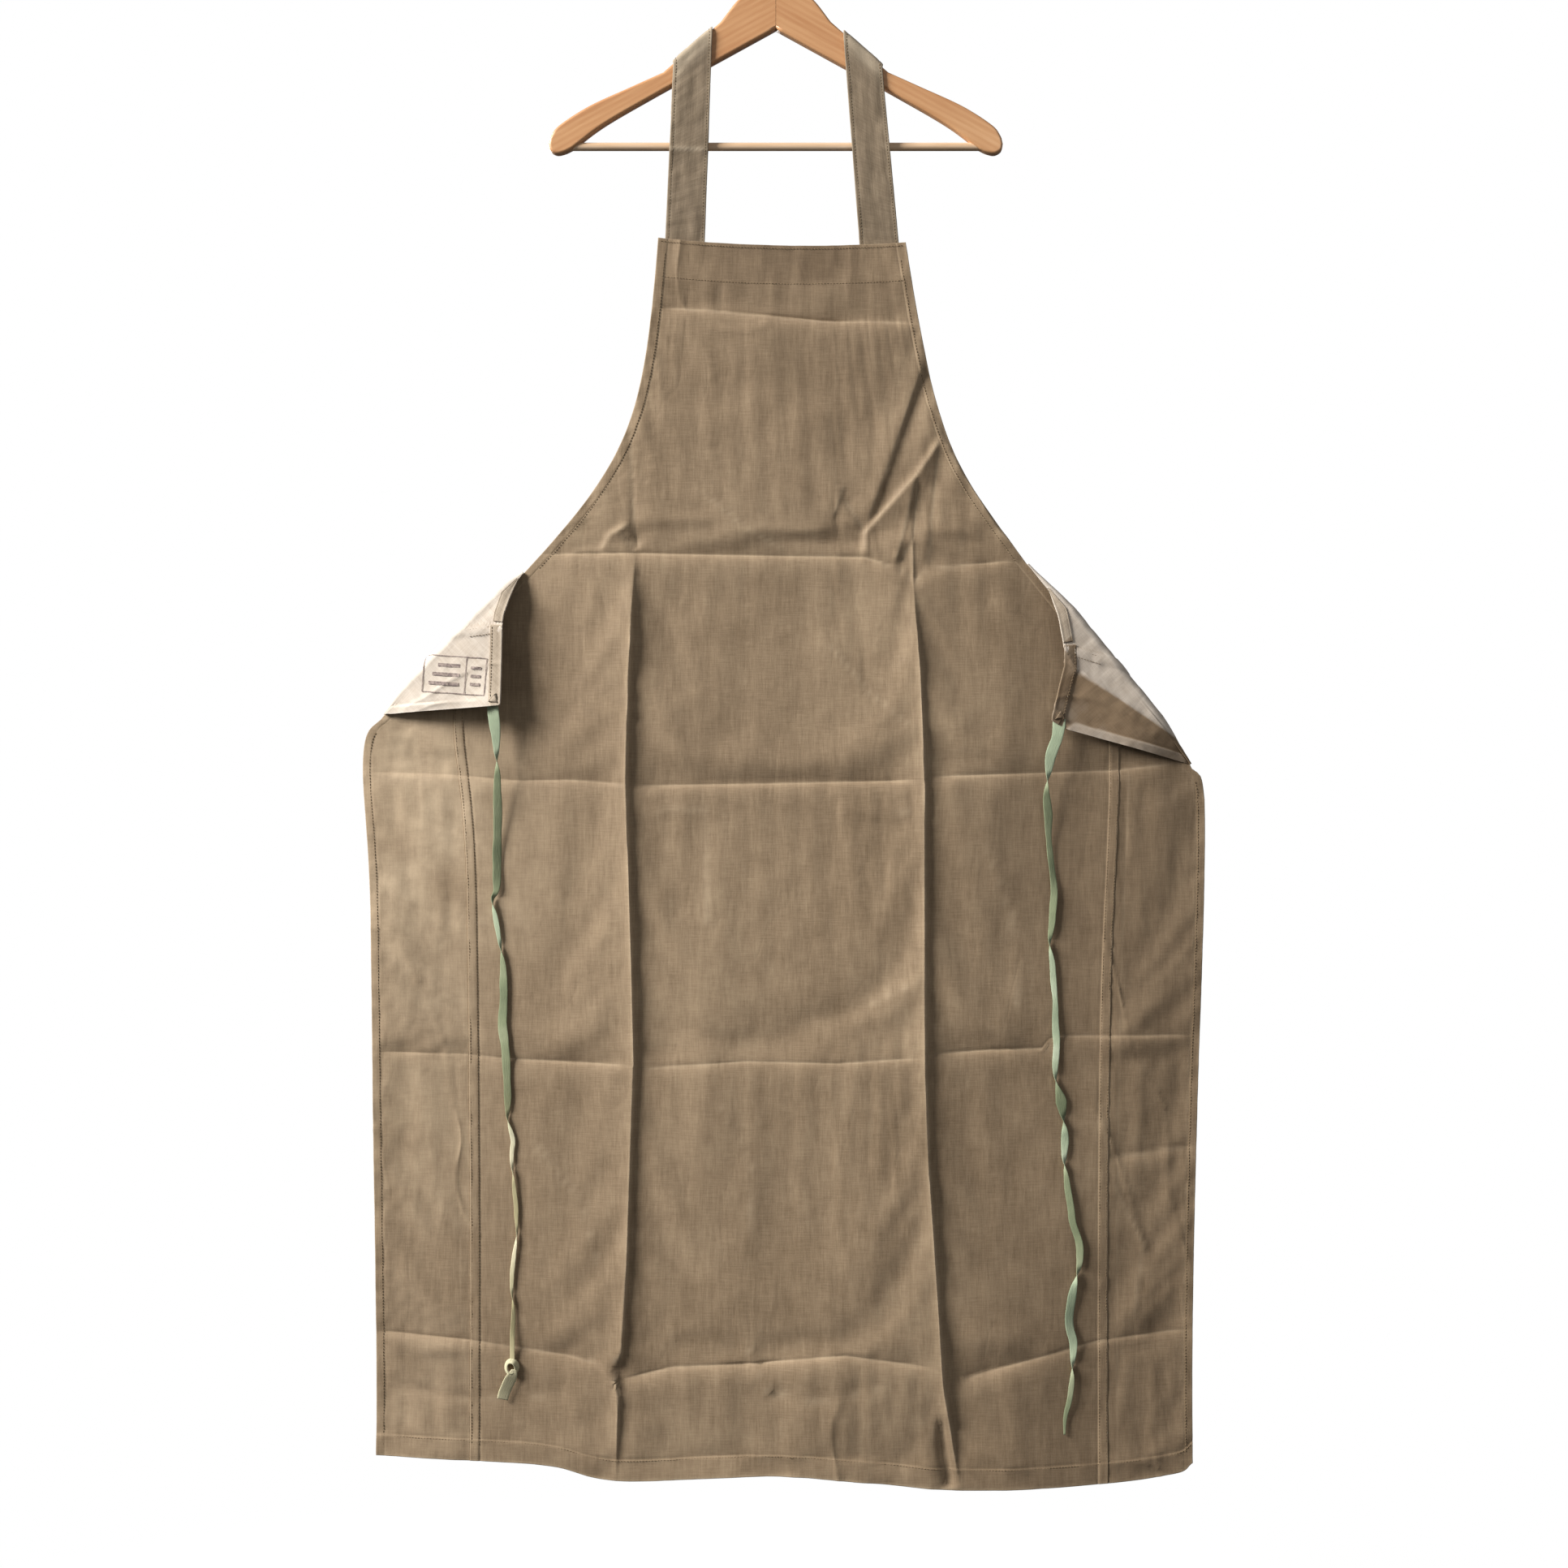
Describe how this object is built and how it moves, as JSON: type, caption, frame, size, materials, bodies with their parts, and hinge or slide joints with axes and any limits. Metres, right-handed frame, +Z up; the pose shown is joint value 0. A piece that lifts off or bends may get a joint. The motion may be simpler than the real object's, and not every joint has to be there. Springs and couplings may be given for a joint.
{
  "type": "apron on a coat hanger",
  "caption": "Full-length cotton work apron with folded side flaps and waist ties, hung by its neck strap on a wooden coat hanger with a wire hook.",
  "frame": {"origin": "bight of the wire hook: the inside top of its bow, where it bears on a rail", "axes": "+Z up, -Y towards the front of the apron, +X to the viewer's right"},
  "size_m": [0.8265, 0.0312, 1.5426],
  "materials": {
    "steel_wire": "satin",
    "hanger_wood": "clear lacquer",
    "bar_wood": "bare",
    "khaki_cotton": "matte",
    "cotton_reverse": "matte",
    "sage_tape": "matte"
  },
  "bodies": {
    "hook": {"wire_hook": "steel_wire"},
    "hanger": {"hanger_left_arm": "hanger_wood", "hanger_right_arm": "hanger_wood", "trouser_bar": "bar_wood", "upper_joint_dowel": "bar_wood", "lower_joint_dowel": "bar_wood", "left_bar_brad": "steel_wire", "right_bar_brad": "steel_wire"},
    "neck_strap": {"neck_strap_yoke": "khaki_cotton"},
    "apron": {"strap_left_run": "khaki_cotton", "strap_right_run": "khaki_cotton", "bib_top_facing": "khaki_cotton", "main_panel": "khaki_cotton", "left_side_panel": "khaki_cotton", "right_side_panel": "khaki_cotton", "left_armhole_binding": "cotton_reverse", "right_armhole_binding": "cotton_reverse"},
    "left_flap": {"left_flap_main_cloth": "cotton_reverse", "left_flap_side_cloth": "cotton_reverse", "left_flap_top_facing": "cotton_reverse", "left_flap_binding_end": "cotton_reverse"},
    "right_flap": {"right_flap_main_cloth": "cotton_reverse", "right_flap_side_cloth": "cotton_reverse", "right_flap_top_facing": "cotton_reverse", "right_flap_binding_end": "cotton_reverse"},
    "left_tie": {"left_waist_tie": "sage_tape", "left_tie_knot": "sage_tape"},
    "right_tie": {"right_waist_tie": "sage_tape"}
  },
  "joints": [
    {"name": "hook_swivel", "type": "hinge", "parent": "hook", "child": "hanger", "pos_m": [0, 0, -0.08], "axis": [0, 0, 1], "continuous": true},
    {"name": "apron_lift", "type": "slide", "parent": "hanger", "child": "neck_strap", "axis": [0, 0, 1], "range_m": [0, 0.16]},
    {"name": "apron_swing", "type": "hinge", "parent": "neck_strap", "child": "apron", "pos_m": [0, -0.0084, -0.15815], "axis": [1, 0, 0], "range_deg": [-20, 0]},
    {"name": "left_flap_fold", "type": "hinge", "parent": "apron", "child": "left_flap", "pos_m": [-0.24632, -0.01467, -0.6442], "axis": [-0.7064, 0.0452, -0.7064], "range_deg": [0, 145]},
    {"name": "right_flap_fold", "type": "hinge", "parent": "apron", "child": "right_flap", "pos_m": [0.24592, -0.01469, -0.6357], "axis": [-0.6355, -0.0407, 0.771], "range_deg": [0, 145]},
    {"name": "left_tie_hang", "type": "hinge", "parent": "left_flap", "child": "left_tie", "pos_m": [-0.2735, -0.0196, -0.7768], "axis": [-0.7064, 0.0452, -0.7064], "range_deg": [-145, 0]},
    {"name": "right_tie_hang", "type": "hinge", "parent": "right_flap", "child": "right_tie", "pos_m": [0.2735, -0.0202, -0.7993], "axis": [-0.6355, -0.0407, 0.771], "range_deg": [-145, 0]}
  ],
  "couplings": [
    {"joint": "left_tie_hang", "follows": "left_flap_fold", "ratio": -1},
    {"joint": "right_tie_hang", "follows": "right_flap_fold", "ratio": -1}
  ]
}
